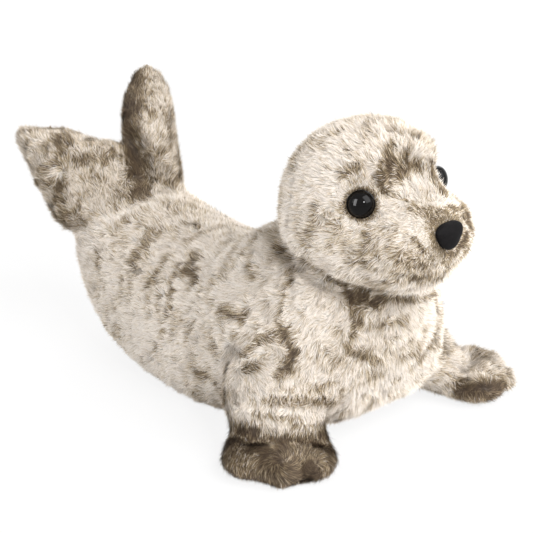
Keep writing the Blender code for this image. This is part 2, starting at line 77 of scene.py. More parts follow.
# Pile
PILE_LENGTH = 0.0045
PILE_WIDTH = 0.00040
WIDTH_LEAST = 0.8
WIDTH_SPAN = 0.4
LENGTH_SPREAD = 0.18
LENGTH_LIMITS = (0.5, 1.5)
PILE_LEAN = math.radians(19)
LEAN_SPREAD = math.radians(9)
STRAY_LEAN = math.radians(25)
STRAY_SHARE = 0.03
PILE_PER_SQUARE_METRE = 6.3e6
PILE_FLOOR = 0.0004
LOCK_SWAY = 0.045
PAD_SWAY = 0.45
HAIR_SWAY = 0.11
MOST_BLADES = 195000
SHOWN_SHARE = 0.7
FLECK_SHARE = 0.12
FLECK_DEPTH = 0.33
TONE_SPREAD = 0.10
MIX_SPREAD = 0.8
# Painted shade: the root of each blade is browner than its tip by this
PAINTED_ROOT_DARKENING = 0.07
TIP_PALING = 0.10
# Where the blades lie in their map: margin at its sides, and heights of the two root corners and the tip
MAP_MARGIN = 0.004
MAP_HEIGHTS = (0.002, 0.002, 0.998)

# Shorter pile: share cut off, and the distances within which the cut is full and beyond which there is none
MUZZLE_CUT = (0.40, 0.012, 0.045)
BUTTON_CUT = (0.55, 0.001, 0.013)
CREASE_CUT = (0.35, 0, 0.004)

# Lay of the pile: where the chest and the tail begin and over what length they turn, and directions
CHEST_START = 0.05
CHEST_RUN = 0.05
CHEST_HALF_WIDTH = 0.06
TAIL_START = -0.05
TAIL_RUN = 0.08
TAIL_RISE = 0.8
BACK_LAY = (-1.0, 0.15, -0.25)
CHEST_LAY = (-0.15, 2.0, -1.0)
HEAD_DROOP = (0, 0, -0.012)
FORE_LAY = (0.7, 0.7, -0.75)
HIND_LAY = (-0.35, 0.3, 1.0)
WHORL_CORE = 0.5
WHORL_FACING = 0.2
LAY_ROUNDS = 8
SWAY_ROUNDS = 3

# Streaks of the coat, from the photograph: start and end pixels, half width in pixels, depth of brown
HEAD_STREAKS = (
    (388, 148, 390, 162, 7, 0.75), (381, 163, 385, 190, 6, 0.85), (396, 175, 417, 164, 6, 0.8),
    (391, 161, 405, 158, 7, 0.5), (428, 136, 435, 160, 4, 0.45), (391, 131, 417, 135, 5, 0.35),
    (344, 147, 349, 155, 3.5, 0.6), (357, 167, 345, 172, 5.5, 0.75), (340, 131, 337, 135, 3, 0.5),
    (313, 144, 325, 147, 2.5, 0.5), (314, 206, 311, 221, 5, 0.6), (311, 231, 305, 242, 5, 0.55),
    (306, 243, 310, 256, 3, 0.45), (330, 241, 333, 251, 3.5, 0.5), (340, 207, 341, 216, 4, 0.35),
    (366, 237, 362, 261, 5, 0.7), (397, 194, 413, 206, 3, 0.5), (413, 207, 434, 217, 6, 0.55),
    (434, 220, 428, 229, 4, 0.45), (463, 207, 469, 225, 5, 0.75), (467, 237, 460, 247, 5, 0.75),
    (443, 250, 455, 255, 4, 0.7), (449, 258, 444, 273, 4, 0.5), (415, 239, 424, 253, 2.5, 0.6),
    (395, 226, 389, 249, 4, 0.35), (401, 254, 408, 258, 5, 0.35), (411, 278, 438, 277, 5, 0.65),
    # The first streak on the next line, under the chin, is partly brown fur and partly painted shadow of the
    # chin
    (356, 286, 390, 288, 4, 0.8), (370, 262, 372, 268, 4, 0.5), (330, 279, 345, 287, 4, 0.7),
    (386, 279, 392, 281, 4, 0.45), (378, 172, 388, 190, 3.5, 0.4),
    (448, 190, 453, 208, 2, 0.5), (436, 211, 460, 207, 3.5, 0.5), (466, 214, 471, 231, 4, 0.6),
    (431, 230, 435, 243, 2.5, 0.6), (446, 252, 443, 262, 3, 0.6), (390, 226, 388, 240, 2, 0.6),
    (392, 246, 399, 256, 2, 0.5), (410, 238, 426, 254, 1.6, 0.6), (376, 246, 382, 262, 2, 0.4),
    (404, 262, 412, 270, 2, 0.5), (418, 262, 426, 268, 2, 0.5), (372, 275, 387, 282, 2.5, 0.6),
    (396, 284, 432, 282, 2.5, 0.6), (416, 278, 437, 273, 2.5, 0.6), (352, 262, 356, 275, 2.5, 0.4),
    (342, 225, 346, 240, 2, 0.35), (330, 190, 333, 205, 2, 0.3), (322, 160, 328, 170, 2.5, 0.3),
    # The three streaks on the next line and the first on the line after, under the chin, are partly brown fur
    # and partly painted shadow of the chin
    (344, 292, 376, 298, 4, 1.0), (352, 300, 374, 305, 6, 0.95), (376, 299, 412, 300, 4.5, 1.0),
    (412, 300, 436, 295, 3, 0.9), (405, 268, 445, 262, 17, 0.26), (445, 213, 462, 215, 7, 0.35),
    (464, 233, 466, 250, 5, 0.45), (285, 165, 281, 228, 9, 0.22), (270, 232, 285, 262, 7, 0.3),
    (300, 258, 345, 284, 6, 0.25), (360, 240, 400, 270, 14, 0.16), (340, 120, 400, 122, 6, 0.12),
)
TORSO_STREAKS = (
    (98, 250, 99, 266, 3.5, 0.7), (152, 231, 132, 263, 6, 0.6), (159, 233, 155, 242, 3, 0.5),
    (169, 256, 147, 288, 4, 0.65), (158, 282, 159, 312, 3, 0.6), (195, 256, 185, 276, 6, 0.8),
    (193, 270, 196, 285, 5, 0.8), (179, 266, 173, 282, 4, 0.6), (173, 291, 167, 315, 4, 0.75),
    (193, 306, 187, 312, 2.5, 0.5), (195, 322, 187, 340, 3.5, 0.75), (164, 331, 166, 334, 3, 0.6),
    (172, 335, 173, 341, 3, 0.6), (123, 279, 124, 297, 4, 0.5), (116, 326, 117, 338, 3.5, 0.75),
    (133, 328, 133, 337, 2.5, 0.4), (106, 286, 106, 291, 3, 0.4), (143, 356, 144, 362, 3, 0.7),
    (156, 343, 158, 352, 4, 0.5), (182, 224, 198, 228, 3.5, 0.7), (187, 206, 191, 206, 3, 0.5),
    (167, 219, 140, 228, 2, 0.4), (136, 231, 108, 249, 2.5, 0.4), (126, 219, 127, 223, 4, 0.7),
    (222, 312, 244, 320, 6, 0.85), (235, 333, 236, 340, 4, 0.6), (213, 344, 216, 351, 5, 0.6),
    # The streak from (218, 383) to (226, 400) on the next line is painted shadow in the gap between the fore
    # flipper and the flank
    (198, 371, 211, 375, 6, 0.8), (218, 383, 226, 400, 4, 0.8), (263, 229, 256, 240, 4, 0.7),
    (277, 247, 280, 254, 3, 0.9), (247, 266, 253, 279, 4, 0.55), (285, 288, 280, 322, 4, 0.7),
    (291, 272, 290, 282, 4, 0.6), (219, 254, 219, 258, 2.5, 0.4), (213, 304, 213, 307, 3, 0.4),
    # On the next line, (350, 304) to (358, 320) is painted shadow under the chin, and (359, 322) to (346,
    # 348) is dark spots with painted shade in the crease by the fore flipper
    (230, 231, 232, 232, 2.5, 0.3), (350, 304, 358, 320, 6, 0.7), (359, 322, 346, 348, 5, 0.65),
    (348, 351, 378, 361, 6, 0.7), (368, 327, 405, 321, 5, 0.6), (398, 359, 416, 351, 5, 0.5),
    (408, 340, 412, 344, 4, 0.4), (368, 378, 383, 374, 4, 0.5), (391, 382, 398, 378, 4, 0.45),
    (419, 319, 425, 332, 3, 0.3), (431, 342, 427, 355, 3, 0.5), (117, 192, 130, 199, 6, 0.55),
    (115, 204, 117, 206, 5, 0.4), (163, 181, 174, 179, 3, 0.65), (169, 194, 173, 193, 2, 0.4),
)
FORE_STREAKS = (
    (245, 355, 258, 341, 4, 0.6), (260, 340, 281, 333, 5, 0.75), (284, 334, 292, 350, 6, 0.85),
    (292, 353, 287, 370, 6, 0.85), (285, 372, 280, 378, 4, 0.6), (250, 368, 256, 368, 5, 0.7),
    (272, 401, 332, 403, 5, 0.75), (255, 416, 294, 421, 4, 0.5), (293, 426, 323, 428, 3, 0.6),
    (248, 392, 318, 390, 2, 0.3), (319, 389, 332, 382, 4, 0.5), (243, 425, 258, 430, 5, 0.9),
    (270, 468, 292, 470, 9, 0.6), (240, 431, 255, 436, 4, 0.8), (248, 438, 318, 442, 3, 0.5),
    (464, 391, 499, 387, 11, 1.0), (447, 351, 449, 352, 3, 0.6), (459, 359, 486, 361, 2, 0.4),
    (488, 362, 508, 374, 3, 0.5),
)
HIND_STREAKS = (
    (47, 125, 66, 130, 6, 0.75), (27, 132, 30, 132, 4, 0.6), (60, 140, 62, 152, 5, 0.7),
    (46, 150, 47, 154, 3.5, 0.6), (57, 161, 41, 170, 4.5, 0.7), (79, 161, 91, 158, 6, 0.6),
    (87, 141, 89, 144, 4.5, 0.5), (103, 160, 104, 162, 5, 0.5), (28, 160, 29, 162, 3, 0.5),
    (39, 182, 39, 187, 5, 0.75), (62, 185, 57, 201, 6, 0.85), (63, 208, 64, 212, 5, 0.7),
    (56, 213, 64, 220, 3, 0.8), (80, 198, 77, 210, 3, 0.5), (112, 155, 111, 150, 4, 0.9),
    (137, 76, 132, 108, 11, 0.8), (131, 110, 130, 150, 12, 0.85), (132, 152, 139, 192, 11, 0.95),
    (152, 95, 153, 99, 3, 0.7), (151, 110, 151, 114, 3.5, 0.6), (168, 129, 169, 147, 4, 0.75),
    (157, 152, 163, 150, 3.5, 0.7), (165, 89, 167, 92, 2.5, 0.5),
)
# How streaks are laid: step along them in pixels, and shares of their half width where they are full and gone
STREAK_STEP = 6
STREAK_CORE = 0.3
STREAK_EDGE = 1.85
STREAK_SEARCH = 1.7
STREAK_DEPTH = 0.97
# Streaks that lie wholly to the right of this place have twins on the left
MIRROR_FROM = -0.015
MIRROR_JITTER = 0.005
MIRROR_DEPTH = 0.95

# Coat between the streaks
GROUND = 0.06
HEAD_GROUND = 0.065
HIND_GROUND = 0.24
PAD_GROUND = 0.98
PAD_HEIGHTS = {"fore_flipper_right": 0.0195, "fore_flipper_left": 0.004}
PAD_EDGE = 0.0055
ACROSS_ROUNDS = 6
GROUND_ROUNDS = 3
# Soft bands across the pile, and the broad blush under them
BAND_WIDTH = 0.0042
BAND_STEP = 0.0042
BAND_DEPTH = 0.26
BAND_SPREAD = 1.6
BAND_FULL = 0.85
PALE_BAND_DEPTH = 0.24
PALE_BAND_EDGES = (0.1, 0.5)
BLUSH_SIZE = 0.03
BLUSH_SHIFT = 3.0
BLUSH_DEPTH = 0.05
BLUSH_IN_BANDS = 0.3
# Ragged edge of the streaks, and the finer fraying on it
RAGGED_SIZE = 0.0030
RAGGED_DEPTH = 0.45
FRAYED_SIZE = RAGGED_SIZE / 2
FRAYED_DEPTH = 0.25

# Eyes and nose
ROUNDING = 6
RIM_SHARE = 0.8
EYE_RIM = 0.0014
EYE_COLLAR = 0.0007
# Softened edge of the collar: shares of its width inward and of the rim's height
EYE_EDGE = ((0.6, 0.75), (0, 0.6))
SHANK_RADIUS = 0.0025
SHANK_LENGTH = 0.011
SHANK_CLEAR = 1.01
NOSE_RADIUS = 0.00925
NOSE_RIM = 0.0016
NOSE_CORNERS = 3
NOSE_CORNER = 0.10
NOSE_TURN = math.pi / 6
NOSE_HEIGHT_SHARE = 0.80
NOSE_SHANK_LENGTH = 0.012
DOME_STEPS = {"eye": 20, "nose": 18}
DOME_SIDES = {"eye": 64, "nose": 72}
CRISP_EDGE = math.radians(50)
# Brown rim round each eye and the nose, partly dark fur and partly painted shade where the button sits in the
# pile: depth, and widths at full depth and at none
FUR_AND_SHADE_RIMS = ((0.7, 0.0008, 0.0030), (0.7, 0.0008, 0.0030), (0.62, 0.0016, 0.0052))
BUTTON_PARTING = 0.007
BUTTON_DEPTH = 0.01
EYE_COVER = 0.92
NOSE_COVER = 0.78

# Places where the stuffed cloth is pulled in: pixels along the line, depth and half width in metres
NECK_LINE = ((283, 246), (300, 263), (322, 277), (350, 291), (380, 300), (410, 301), (438, 292))
CREASES = (
    (((368, 166), (377, 180), (387, 194)), 0.0028, 0.004),
    (NECK_LINE, 0.0055, 0.0060),
    (((353, 303), (352, 325), (349, 350)), 0.0014, 0.005),
    (((305, 142), (297, 165), (292, 195), (289, 225)), 0.0012, 0.004),
    (((291, 262), (294, 290), (291, 322)), 0.0012, 0.005),
    (((229, 384), (229, 400), (232, 418)), 0.0016, 0.005),
    (((286, 340), (296, 352), (290, 372)), 0.0012, 0.004),
    (((232, 427), (250, 433), (285, 437), (324, 437)), 0.0038, 0.0075),
    (((300, 486), (301, 472)), 0.0024, 0.004),
    (((336, 470), (322, 466)), 0.0018, 0.004),
    (((150, 72), (151, 92), (155, 112)), 0.0016, 0.003),
    (((412, 246), (428, 262), (438, 276)), 0.0010, 0.005),
    (((420, 160), (428, 175), (432, 192)), 0.0035, 0.008),
)
MIRRORED_CREASES = (0, 3, 4, 5, 6, 7, 8, 9, 12)
# Soft lumps of the stuffing, and the underside of the chin, which is lifted in the middle
LUMP_DEPTH = 0.0011
LUMP_SIZE = 0.026
CHIN = (398, 296)
CHIN_LIFT = 0.0050
CHIN_CORE = 0.004
CHIN_REACH = 0.034
CHIN_HALF_WIDTHS = (0.030, 0.050)

# Whorls of the pile: pixel, reach in metres, share that runs outward, share that turns
WHORLS = (
    ((266, 356), 0.017, 0.35, 0.8),
    ((283, 462), 0.022, 0.5, 1.0),
    ((318, 466), 0.010, 0.3, -1.0),
    ((484, 388), 0.016, 0.5, 0.9),
    ((136, 176), 0.014, 0.5, 0.9),
    ((62, 172), 0.012, 0.6, 0.8),
)

# Palette of the dyed pile, from its palest to its darkest
PALETTE = (
    (0.00, (0.95, 0.89, 0.82)),
    (0.18, (0.84, 0.765, 0.69)),
    (0.36, (0.66, 0.55, 0.395)),
    (0.56, (0.40, 0.305, 0.180)),
    (0.76, (0.205, 0.145, 0.088)),
    (1.00, (0.080, 0.054, 0.036)),
)

# Finishes: roughness at the low and the high end of what drives it, gloss, and bumps as strength and depth
PILE_ROUGHNESS = (0.72, 0.60)
PILE_GLOSS = 0.25
# Painted shade at the roots of the pile: the colour there is multiplied by this, rising to full at the given
# share of the way to the tip
ROOT_SHADE = 0.62
ROOT_SHADE_REACH = 0.75
KNIT_SCALE = 1400.0
KNIT_RANGE = (0.0, 0.7)
# Shares from root to tip at which the backing takes the pile's painted root shade, across the knit
KNIT_DEPTHS = (0.45, 0.10)
KNIT_BUMP = (0.4, 0.0003)
NOISE_RANGE = (0.3, 0.7)
HAZE_SCALE = 260.0
EYE_TONES = ((0.0012, 0.0010, 0.0010), (0.0040, 0.0034, 0.0030))
EYE_ROUGHNESS = (0.03, 0.07)
EYE_GLOSS = 0.14
FLOCK_SCALE = 2600.0
WEAR_SCALE = 320.0
NOSE_TONES = ((0.0030, 0.0028, 0.0030), (0.0120, 0.0105, 0.0110))
NOSE_TONE_ENDS = (0.1, 0.5)
NOSE_ROUGHNESS = (0.55, 0.75)
FLOCK_BUMP = (0.5, 0.0002)
NOSE_GLOSS = 0.07
FLOW_SCALE = 180.0
NYLON_TONES = ((0.62, 0.62, 0.58), (0.80, 0.80, 0.76))
NYLON_ROUGHNESS = (0.32, 0.50)
NYLON_BUMP = (0.15, 0.0002)

# Stage and lamps
FLOOR_RADIUS = 6.0
FLOOR_SIDES = 96
FLOOR_ROUGHNESS = 0.9
FLOOR_TONE = 0.86
FLOOR_WHITENESS = 0.86
SURROUND_LEVEL = 0.50
LAMP_TARGET = Vector((0.03, 0, 0.08))
# Each lamp: how far to the right, up and back from the target in the photograph's view and how far higher,
# its power, width and height
LAMPS = {
    "key_lamp": ((0.80, 0.62, 0.85, 0), 20.0, 1.1, 1.1),
    "side_lamp": ((-0.85, 0.30, 0.75, 0), 2.2, 0.5, 0.5),
    "window_lamp": ((-0.70, 0.12, 0.95, 0), 17.0, 0.42, 0.85),
    "rear_lamp": ((0, 0, -1.1, 0.85), 8.0, 1.2, 1.2),
    "eye_lamp": ((0.30, 0.12, 1.0, 0), 3.0, 0.08, 0.08),
}

rng = np.random.default_rng(7)
LATTICE_SIDE = 32
LATTICE = rng.uniform(-1, 1, (LATTICE_SIDE, LATTICE_SIDE, LATTICE_SIDE))


# Camera and the rays through its pixels

def camera_axes():
    """Directions to the right of the photograph, up it, and back towards the camera."""
    right = Vector((math.cos(CAMERA_AZIMUTH), math.sin(CAMERA_AZIMUTH), 0))
    back = Vector((math.sin(CAMERA_AZIMUTH) * math.cos(CAMERA_ELEVATION),
                   -math.cos(CAMERA_AZIMUTH) * math.cos(CAMERA_ELEVATION),
                   math.sin(CAMERA_ELEVATION)))
    return right, back.cross(right), back


def add_camera():
    """Camera at the photograph's place."""
    data = bpy.data.cameras.new("camera")
    data.sensor_width = SENSOR_WIDTH
    data.lens = SENSOR_WIDTH * CAMERA_FOCUS / FRAME_SIDE
    camera = bpy.data.objects.new("camera", data)
    bpy.context.scene.collection.objects.link(camera)
    camera.matrix_world = Matrix.Translation(CAMERA_PLACE) @ Matrix(camera_axes()).transposed().to_4x4()
    bpy.context.scene.camera = camera


def seen_at(tree, x, y):
    """Point and normal of the plush that shows at a pixel, or that lies nearest to its ray."""
    right, up, back = camera_axes()
    middle = FRAME_SIDE / 2
    ray = (right * (x - middle) - up * (y - middle)) / CAMERA_FOCUS - back
    hit, normal, _, _ = tree.ray_cast(CAMERA_PLACE, ray.normalized())
    if hit is None:
        reach = CAMERA_PLACE.length
        hit, normal, _, _ = tree.find_nearest(CAMERA_PLACE + ray.normalized() * reach)
    return hit, normal


# Buttons: where the eyes and the nose sit

class Button:
    """Seat, axis and size of an eye or the nose, measured on its CAD node."""

    def __init__(self, node, head_middle):
        points = np.array([vertex.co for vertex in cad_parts[node].data.vertices])
        points = np.unique(points.round(ROUNDING), axis=0)
        middle = points.mean(axis=0)
        spread, axes = np.linalg.eigh(np.cov((points - middle).T))
        lone = 0 if spread[1] - spread[0] > spread[2] - spread[1] else 2
        axis = axes[:, lone]
        if node == "nose":
            axis = axes[:, np.argmax(np.abs(axes[0]))]
        if axis @ (middle - head_middle) < 0:
            axis = -axis
        heights = (points - middle) @ axis
        radii = np.linalg.norm(points - middle - heights[:, None] * axis, axis=1)
        wide = radii > RIM_SHARE * radii.max()
        self.axis = Vector(axis)
        self.seat = Vector(middle + axis * heights[wide].min())
        self.radius = radii.max()
        self.flatness = NOSE_HEIGHT_SHARE if node == "nose" else 1.0
        self.covered = self.radius * (NOSE_COVER if node == "nose" else EYE_COVER)
        self.dome = heights.max() - heights[wide].min()
        sideways = Vector((0, 0, 1)).cross(self.axis).normalized()
        self.matrix = (Matrix.Translation(self.seat)
                       @ Matrix((sideways, self.axis.cross(sideways), self.axis)).transposed().to_4x4())

    def reach(self, points):
        """Distance of points from the axis, in which the rim is round, and their height over the seat."""
        across, upright, height = ((points - np.array(self.seat)) @ np.array(self.matrix.to_3x3())).T
        return np.hypot(across, upright / self.flatness), height


# Cloth: the form of the stuffed bags

def bag_mesh(node):
    """Copy of a bag's CAD node, merged and grown a little so that neighbours meet."""
    mesh = bmesh.new()
    mesh.from_mesh(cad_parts[node].data)
    bmesh.ops.remove_doubles(mesh, verts=mesh.verts, dist=MERGE)
    mesh.normal_update()
    for vertex in mesh.verts:
        vertex.co += vertex.normal * BAG_OVERLAP
    return mesh


def joined_bags(buttons):
    """One closed mesh round all the bags, with the pockets for the buttons filled level."""
    joined = bmesh.new()
    for node in BAGS:
        bag = bag_mesh(node)
        data = bpy.data.meshes.new(node)
        bag.to_mesh(data)
        bag.free()
        joined.from_mesh(data)
        bpy.data.meshes.remove(data)
    for button in buttons:
        place = button.matrix @ Matrix.Translation((0, 0, -PLUG_DEPTH / 2 + BAG_OVERLAP))
        radius = button.radius + PLUG_MARGIN
        bmesh.ops.create_cone(joined, cap_ends=True, segments=PLUG_SIDES, radius1=radius, radius2=radius,
                              depth=PLUG_DEPTH, matrix=place)
    data = bpy.data.meshes.new("joined")
    joined.to_mesh(data)
    joined.free()
    holder = bpy.data.objects.new("joined", data)
    bpy.context.scene.collection.objects.link(holder)
    remesh = holder.modifiers.new("Cloth grid", "REMESH")
    remesh.mode = "VOXEL"
    remesh.voxel_size = CLOTH_GRID
    evaluated = holder.evaluated_get(bpy.context.evaluated_depsgraph_get())
    form = bmesh.new()
    form.from_mesh(evaluated.data)
    bpy.data.objects.remove(holder)
    keep_largest(form)
    return form


def keep_largest(mesh):
    """Delete all but the largest connected surface."""
    loose = set(mesh.verts)
    largest = set()
    while loose:
        island = {loose.pop()}
        front = list(island)
        while front:
            for edge in front.pop().link_edges:
                for vertex in edge.verts:
                    if vertex in loose:
                        loose.discard(vertex)
                        island.add(vertex)
                        front.append(vertex)
        if len(island) > len(largest):
            largest = island
    bmesh.ops.delete(mesh, geom=[vertex for vertex in mesh.verts if vertex not in largest], context="VERTS")


def bag_distances(points, trees):
    """Distance of each point to each bag."""
    return np.array([[tree.find_nearest(point)[3] for tree in trees] for point in points])


def relax(mesh, verts, rounds):
    """Smooth some of the cloth's points."""
    for _ in range(rounds):
        bmesh.ops.smooth_vert(mesh, verts=verts, factor=SMOOTHING,
                              use_axis_x=True, use_axis_y=True, use_axis_z=True)


def path_distance(points, path):
    """Distance of each point to a line through the path's points."""
    nearest = np.full(len(points), np.inf)
    for start, end in zip(path, path[1:]):
        run = end - start
        length = max(run @ run, 1e-12)
        share = np.clip((points - start) @ run / length, 0, 1)
        nearest = np.minimum(nearest, np.linalg.norm(points - start - share[:, None] * run, axis=1))
    return nearest


def fade(distance, inner, outer):
    """1 up to an inner distance, falling smoothly to 0 at an outer one."""
    share = np.clip((outer - distance) / (outer - inner), 0, 1)
    return share * share * (3 - 2 * share)


def wander(points, size):
    """Smooth noise from -1 to 1 at each point, with features of about the given size."""
    place = points / size
    cell = np.floor(place).astype(int)
    share = place - cell
    share = share * share * (3 - 2 * share)
    total = np.zeros(len(points))
    for corner in np.ndindex(2, 2, 2):
        weight = np.where(corner, share, 1 - share).prod(axis=1)
        total += weight * LATTICE[tuple(((cell + corner) % LATTICE_SIDE).T)]
    return total


class Cloth:
    """The stuffed cloth: its mesh, its points, normals, edges and faces, and the bag that owns each point."""

    def __init__(self, buttons):
        mesh = joined_bags(buttons)
        trees = [BVHTree.FromPolygons(*polygons(bag_mesh(node))) for node in BAGS]
        points = [vertex.co.copy() for vertex in mesh.verts]
        distances = bag_distances(points, trees)
        self.owner = distances.argmin(axis=1)
        second = np.sort(distances, axis=1)[:, 1]
        neck = (distances[:, TORSO] < SEAM_REACH) & (distances[:, HEAD] < SEAM_REACH)
        mesh.verts.ensure_lookup_table()
        relax(mesh, mesh.verts, CLOTH_ROUNDS)
        near = np.flatnonzero((second < SEAM_REACH) & ~neck)
        relax(mesh, [mesh.verts[index] for index in near], SEAM_ROUNDS["flipper"])
        relax(mesh, [mesh.verts[index] for index in np.flatnonzero(neck)], SEAM_ROUNDS["neck"])
        self.press_creases(mesh)
        mesh.normal_update()
        for vertex in mesh.verts:
            vertex.co -= vertex.normal * PILE_SINK
        mesh.normal_update()
        mesh.verts.index_update()
        self.mesh = mesh
        self.tree = BVHTree.FromBMesh(mesh)
        self.points = np.array([vertex.co for vertex in mesh.verts])
        self.normals = np.array([vertex.normal for vertex in mesh.verts])
        self.edges = np.array([[vertex.index for vertex in edge.verts] for edge in mesh.edges])
        self.faces = [[vertex.index for vertex in face.verts] for face in mesh.faces]

    def press_creases(self, mesh):
        """Give the cloth soft lumps, pull it in along each crease and lift it under the chin."""
        tree = BVHTree.FromBMesh(mesh)
        points = np.array([vertex.co for vertex in mesh.verts])
        mesh.normal_update()
        normals = np.array([vertex.normal for vertex in mesh.verts])
        points = points + normals * (LUMP_DEPTH * wander(points, LUMP_SIZE))[:, None]
        self.crease_paths = []
        for number, (pixels, depth, reach) in enumerate(CREASES):
            path = [seen_at(tree, *pixel)[0] for pixel in pixels]
            paths = [path]
            if number in MIRRORED_CREASES:
                paths.append([tree.find_nearest(Vector((point.x, -point.y, point.z)))[0] for point in path])
            for path in paths:
                path = np.array(path)
                self.crease_paths.append(path)
                press = depth * fade(path_distance(points, path), 0, reach)
                points = points - normals * press[:, None]
        chin = np.array(seen_at(tree, *CHIN)[0])
        lift = CHIN_LIFT * fade(np.linalg.norm((points - chin) * (1, 0, 1), axis=1), CHIN_CORE, CHIN_REACH)
        points[:, 2] += lift * (self.owner == HEAD) * fade(np.abs(points[:, 1]), *CHIN_HALF_WIDTHS)
        for vertex, point in zip(mesh.verts, points):
            vertex.co = point

    def even_out(self, values, rounds):
        """Blend per-point vectors with their neighbours."""
        first, second = self.edges.T
        count = np.bincount(self.edges.ravel(), minlength=len(values))[:, None]
        for _ in range(rounds):
            total = np.stack([np.bincount(first, axis[second], len(values))
                              + np.bincount(second, axis[first], len(values)) for axis in values.T], axis=1)
            values = values + SMOOTHING * (total / count - values)
        return values

    def tangent(self, values):
        """Unit vectors along the cloth nearest to the given ones."""
        flat = values - (values * self.normals).sum(axis=1, keepdims=True) * self.normals
        return flat / np.maximum(np.linalg.norm(flat, axis=1, keepdims=True), 1e-9)


def polygons(mesh):
    """Points and faces of a bmesh as lists, and frees it."""
    mesh.verts.index_update()
    points = [vertex.co.copy() for vertex in mesh.verts]
    faces = [[vertex.index for vertex in face.verts] for face in mesh.faces]
    mesh.free()
    return points, faces


# Comb, length and colour of the pile

def bag_box(node):
    """Lowest and highest corner of a CAD node as arrays."""
    low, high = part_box(node)
    return np.array(low), np.array(high)


def torso_lay(points):
    """Back along the torso and up its tail, and down and outwards on its chest."""
    level = np.ones(len(points))
    front = np.clip((points[:, 0] - CHEST_START) / CHEST_RUN, 0, 1)[:, None]
    rise = np.clip((TAIL_START - points[:, 0]) / TAIL_RUN, 0, 1)
    back = np.stack([BACK_LAY[0] * level, BACK_LAY[1] * np.sign(points[:, 1]),
                     TAIL_RISE * rise + BACK_LAY[2]], axis=1)
    down = np.stack([CHEST_LAY[0] * level, CHEST_LAY[1] * points[:, 1] / CHEST_HALF_WIDTH,
                     CHEST_LAY[2] * level], axis=1)
    return back * (1 - front) + down * front


def flipper_lay(node):
    """Out along a flipper."""
    side = -1 if "right" in node else 1
    if "fore" in node:
        return np.array(FORE_LAY) * (1, side, 1)
    low, high = bag_box(node)
    return np.array(HIND_LAY) * (1, side, 1) * (high - low)


def comb_cloth(cloth, buttons):
    """Direction in which the pile lies at each point."""
    points = cloth.points
    flow = torso_lay(points)
    head = cloth.owner == HEAD
    flow[head] = points[head] - np.array(buttons[-1].seat) + np.array(HEAD_DROOP)
    for index, node in enumerate(BAGS):
        if "flipper" in node:
            flow[cloth.owner == index] = flipper_lay(node)
    flow = flow / np.linalg.norm(flow, axis=1, keepdims=True)
    whorls = [(*seen_at(cloth.tree, *pixel), *rest) for pixel, *rest in WHORLS]
    whorls += [(button.seat, button.axis, button.radius + BUTTON_PARTING, 1.0, 0.0) for button in buttons]
    for centre, normal, reach, outward, turning in whorls:
        away = points - np.array(centre)
        distance = np.linalg.norm(away, axis=1, keepdims=True)
        away = away / np.maximum(distance, 1e-6)
        spin = np.cross(cloth.normals, away)
        facing = cloth.normals @ np.array(normal) > WHORL_FACING
        near = fade(distance, WHORL_CORE * reach, reach) * facing[:, None]
        flow = flow * (1 - near) + (outward * away + turning * spin) * near
    flow = cloth.tangent(cloth.even_out(cloth.tangent(flow), LAY_ROUNDS))
    sway = cloth.even_out(rng.normal(size=(len(points), 3)), SWAY_ROUNDS)
    sway = sway / sway.std()
    curly = fade(ground_colour(cloth), PAD_GROUND, GROUND)[:, None]
    return cloth.tangent(flow + (LOCK_SWAY + PAD_SWAY * (1 - curly)) * sway)


class Coat:
    """Depth of brown anywhere on the cloth, from 0 for white to 1 for dark brown, with painted shade in some
    streaks and in the rims round the buttons.
    """

    def __init__(self, cloth, comb, buttons):
        self.buttons = buttons
        self.across = cloth.tangent(cloth.even_out(np.cross(cloth.normals, comb), ACROSS_ROUNDS))
        self.ground = cloth.even_out(ground_colour(cloth)[:, None], GROUND_ROUNDS)[:, 0]
        self.streaks = list(placed_streaks(cloth))
        self.of_cloth = self.depth(cloth.points, self.across, self.ground)

    def depth(self, points, across, ground):
        """Depth of brown at points with the given directions across the pile and ground colours, painted
        shade included.
        """
        bands = [wander(points + step * BAND_STEP * across, BAND_WIDTH) for step in (-1, 0, 1)]
        bands = sum(bands) / BAND_SPREAD
        blush = wander(points + BLUSH_SHIFT, BLUSH_SIZE)
        banded = BAND_DEPTH * fade(bands + BLUSH_IN_BANDS * blush, BAND_FULL, 0)
        coat = ground + BLUSH_DEPTH * blush + banded * (1 - ground)
        coat = coat - PALE_BAND_DEPTH * ground * fade(bands, *PALE_BAND_EDGES)
        ragged = 1 + RAGGED_DEPTH * wander(points, RAGGED_SIZE)
        ragged = ragged + FRAYED_DEPTH * wander(points, FRAYED_SIZE)
        for path, width, depth in self.streaks:
            reach = STREAK_EDGE * width
            low = path.min(axis=0) - STREAK_SEARCH * reach
            high = path.max(axis=0) + STREAK_SEARCH * reach
            near = np.flatnonzero(np.all((points > low) & (points < high), axis=1))
            distance = path_distance(points[near], path) * ragged[near]
            coat[near] += (1 - coat[near]) * STREAK_DEPTH * depth * fade(distance, STREAK_CORE * width, reach)
        # Rims round the eyes and the nose: dark fur with painted shade where the buttons sit in the pile
        for button, (rim_depth, inner, outer) in zip(self.buttons, FUR_AND_SHADE_RIMS):
            radius, height = button.reach(points)
            near = fade(np.abs(radius - button.radius), inner, outer) * (np.abs(height) < BUTTON_DEPTH)
            coat += (rim_depth - coat) * near
        return np.clip(coat, 0, 1)


